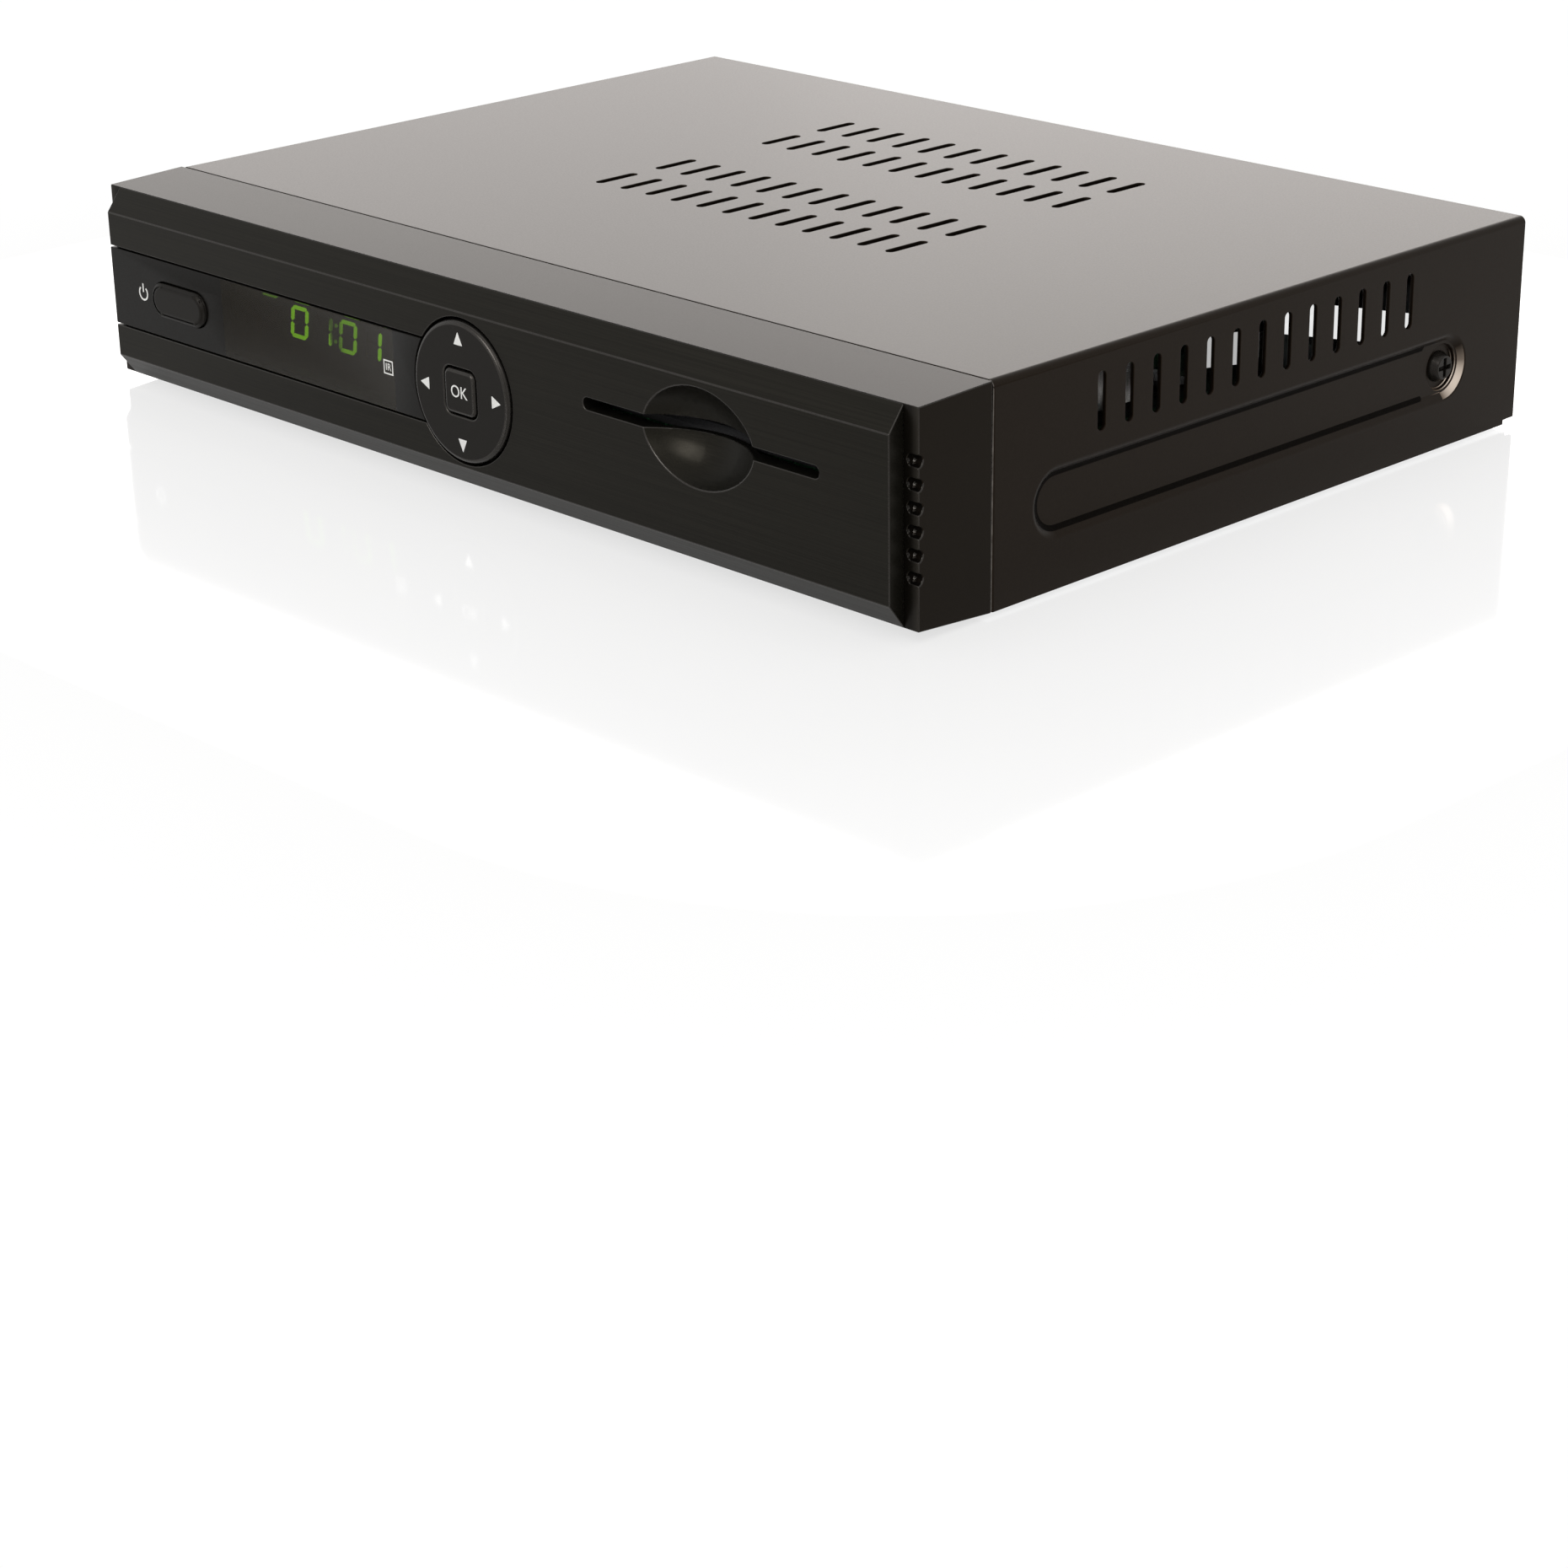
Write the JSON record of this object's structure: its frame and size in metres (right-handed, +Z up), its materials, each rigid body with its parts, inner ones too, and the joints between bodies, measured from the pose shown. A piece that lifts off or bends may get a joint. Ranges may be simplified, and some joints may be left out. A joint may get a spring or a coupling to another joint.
{
  "type": "digital television receiver",
  "caption": "Flat black set-top box with a bevelled front, lit clock display, power button, four-way ring with OK button, card slot with thumb dish, and a vented steel cover.",
  "frame": {"origin": "middle of the footprint's bounding box, on the surface that the feet stand on", "axes": "+X to the right seen from the front, +Y to the rear, +Z up"},
  "size_m": [0.22, 0.1754, 0.0402],
  "materials": {
    "cover_paint": "satin",
    "chassis_steel": "satin",
    "foot_rubber": "matte",
    "black_screw": "satin",
    "bright_screw": "satin",
    "front_plastic": "satin",
    "face_brushed": "fine brushed lines along X",
    "smoked_window": "satin",
    "button_plastic": "satin",
    "dark_plastic": "matte",
    "board_green": "satin",
    "display_black": "matte",
    "lit_green": "glowing",
    "unlit_grey": "matte",
    "eye_plastic": "gloss",
    "lamp_green": "glowing",
    "brass_metal": "satin",
    "chip_plastic": "matte",
    "fin_aluminium": "satin",
    "tin_plate": "bright",
    "capacitor_sleeve": "gloss",
    "ferrite_grey": "matte",
    "nickel_plate": "polished",
    "white_plastic": "matte",
    "orange_plastic": "matte",
    "yellow_plastic": "matte",
    "red_plastic": "matte",
    "ribbon_grey": "matte"
  },
  "bodies": {
    "housing": {"top_cover": "cover_paint", "chassis": "chassis_steel", "rubber_feet": "foot_rubber", "side_screws": "black_screw", "rear_screws": "black_screw", "front_screws": "bright_screw", "front_frame": "front_plastic", "face_plate": "face_brushed", "display_window": "smoked_window", "front_board": "board_green", "front_board_screws": "bright_screw", "key_switches": "dark_plastic", "nav_key_stems": "dark_plastic", "display_module": "display_black", "lit_segments": "lit_green", "dark_segments": "unlit_grey", "receiver_eye": "eye_plastic", "standby_lamp": "lamp_green", "main_board": "board_green", "standoffs": "brass_metal", "board_screws": "bright_screw", "main_chip": "chip_plastic", "heat_sink": "fin_aluminium", "memory_chips": "chip_plastic", "flash_chip": "chip_plastic", "crystal": "tin_plate", "capacitors": "capacitor_sleeve", "inductors": "ferrite_grey", "tuner_can": "tin_plate", "demodulator_can": "tin_plate", "aerial_input": "nickel_plate", "aerial_output": "nickel_plate", "aerial_insulators": "white_plastic", "aerial_contacts": "brass_metal", "video_socket": "tin_plate", "video_tongue": "dark_plastic", "network_socket": "dark_plastic", "network_contacts": "brass_metal", "data_socket": "tin_plate", "data_tongue": "white_plastic", "jack_block": "dark_plastic", "jack_barrels": "nickel_plate", "digital_insert": "orange_plastic", "picture_insert": "yellow_plastic", "left_insert": "white_plastic", "right_insert": "red_plastic", "power_inlet": "dark_plastic", "inlet_pin": "nickel_plate", "card_board": "board_green", "card_reader": "dark_plastic", "card_contacts": "brass_metal", "card_posts": "white_plastic", "ribbon_headers": "white_plastic", "ribbon_cable": "ribbon_grey"},
    "power_button": {"power_button": "button_plastic", "power_key_stem": "dark_plastic"},
    "nav_carrier": {"nav_carrier": "dark_plastic"},
    "nav_ring": {"nav_ring": "button_plastic"},
    "ok_button": {"ok_button": "button_plastic", "ok_key_stem": "dark_plastic"}
  },
  "joints": [
    {"name": "power_press", "type": "slide", "parent": "housing", "child": "power_button", "axis": [0, 1, 0], "range_m": [0, 0.0005], "stiffness_N_per_m": 3000},
    {"name": "nav_sideways", "type": "hinge", "parent": "housing", "child": "nav_carrier", "pos_m": [0.0012, -0.08163, 0.02065], "axis": [0, 0, 1], "range_deg": [-2, 2], "stiffness_Nm_per_rad": 0.5},
    {"name": "nav_updown", "type": "hinge", "parent": "nav_carrier", "child": "nav_ring", "pos_m": [0.0012, -0.08163, 0.02065], "axis": [1, 0, 0], "range_deg": [-2, 2], "stiffness_Nm_per_rad": 0.5},
    {"name": "ok_press", "type": "slide", "parent": "housing", "child": "ok_button", "axis": [0, 1, 0], "range_m": [0, 0.0005], "stiffness_N_per_m": 3000}
  ]
}
